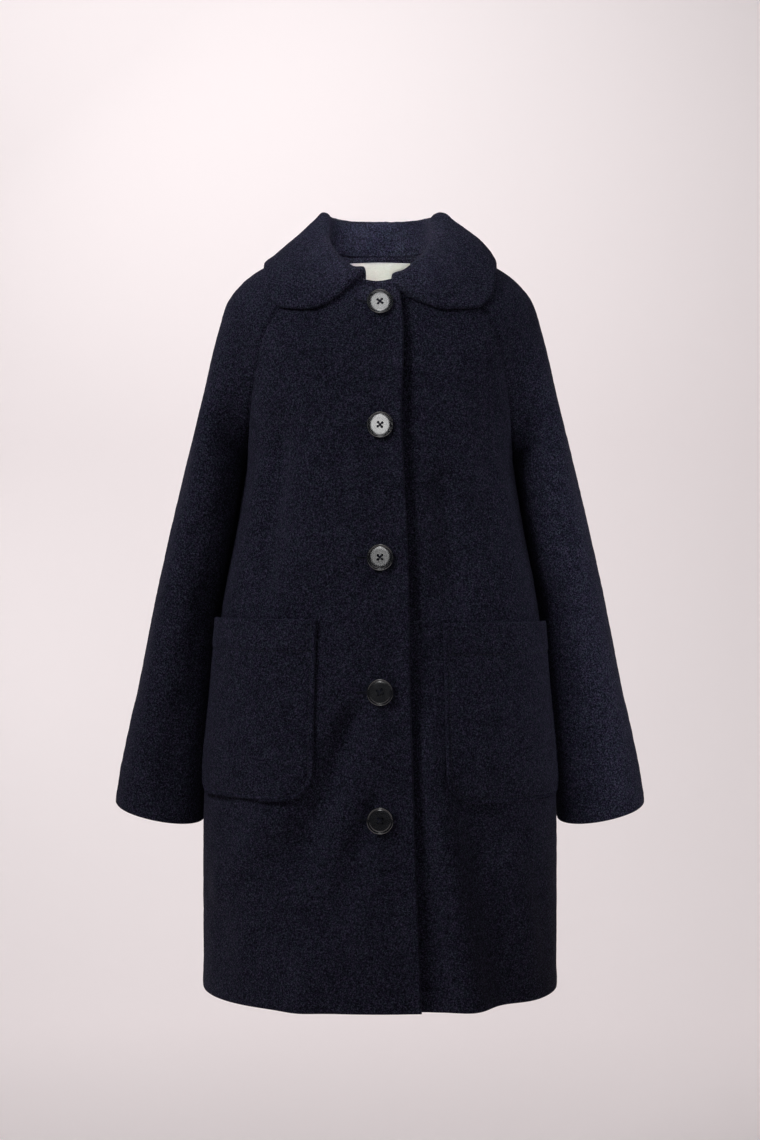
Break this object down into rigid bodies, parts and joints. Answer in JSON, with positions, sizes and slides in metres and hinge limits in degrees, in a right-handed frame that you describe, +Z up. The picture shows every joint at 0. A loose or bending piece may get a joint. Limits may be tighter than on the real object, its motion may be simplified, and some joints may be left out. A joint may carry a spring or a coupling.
{
  "type": "long coat",
  "caption": "Knee-length wool coat with raglan sleeves, round collar, patch pockets and buttoned front, hollow as worn.",
  "frame": {"origin": "middle of the neck, level with the neck seam at the shoulders, where the wearer's shoulders hold the coat", "axes": "+Z up, front facing -Y, +X to the viewer's right, which is the wearer's left"},
  "size_m": [0.636, 0.2906, 0.927],
  "materials": {
    "wool": "boiled wool with a short uneven nap",
    "button": "polished, with a raised rim",
    "label": "plain woven tape"
  },
  "bodies": {
    "root": {"front_right": "wool", "front_left": "wool", "back": "wool", "sleeve_right": "wool", "sleeve_left": "wool", "collar_stand": "wool", "collar_fall": "wool", "pocket_right": "wool", "pocket_left": "wool", "button_1": "button", "button_2": "button", "button_3": "button", "button_4": "button", "button_5": "button", "neck_label": "label"}
  },
  "joints": []
}
